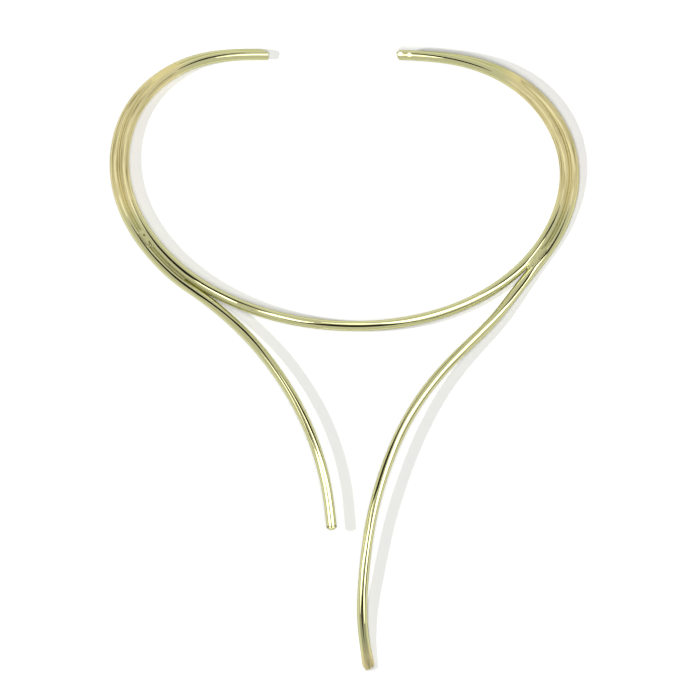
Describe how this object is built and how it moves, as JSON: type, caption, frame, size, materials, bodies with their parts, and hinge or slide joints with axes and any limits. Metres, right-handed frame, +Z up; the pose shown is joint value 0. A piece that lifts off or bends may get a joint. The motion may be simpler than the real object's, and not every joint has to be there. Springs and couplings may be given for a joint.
{
  "type": "open collar necklace",
  "caption": "Rigid open neck collar of round polished wire, its front bow crossed by drops of unequal length that part from its sides and hang towards each other.",
  "frame": {"origin": "on the surface that the collar lies on, under the middle of its outline", "axes": "+Z up from that surface; +Y towards the open back of the collar; the drops point along -Y; seen from +Z the long drop comes from the +X side"},
  "size_m": [0.1408, 0.1866, 0.0142],
  "materials": {
    "pale_gold_plate": "polished, plated in pale gold"
  },
  "bodies": {
    "root": {"soldered_collar": "pale_gold_plate"}
  },
  "joints": []
}
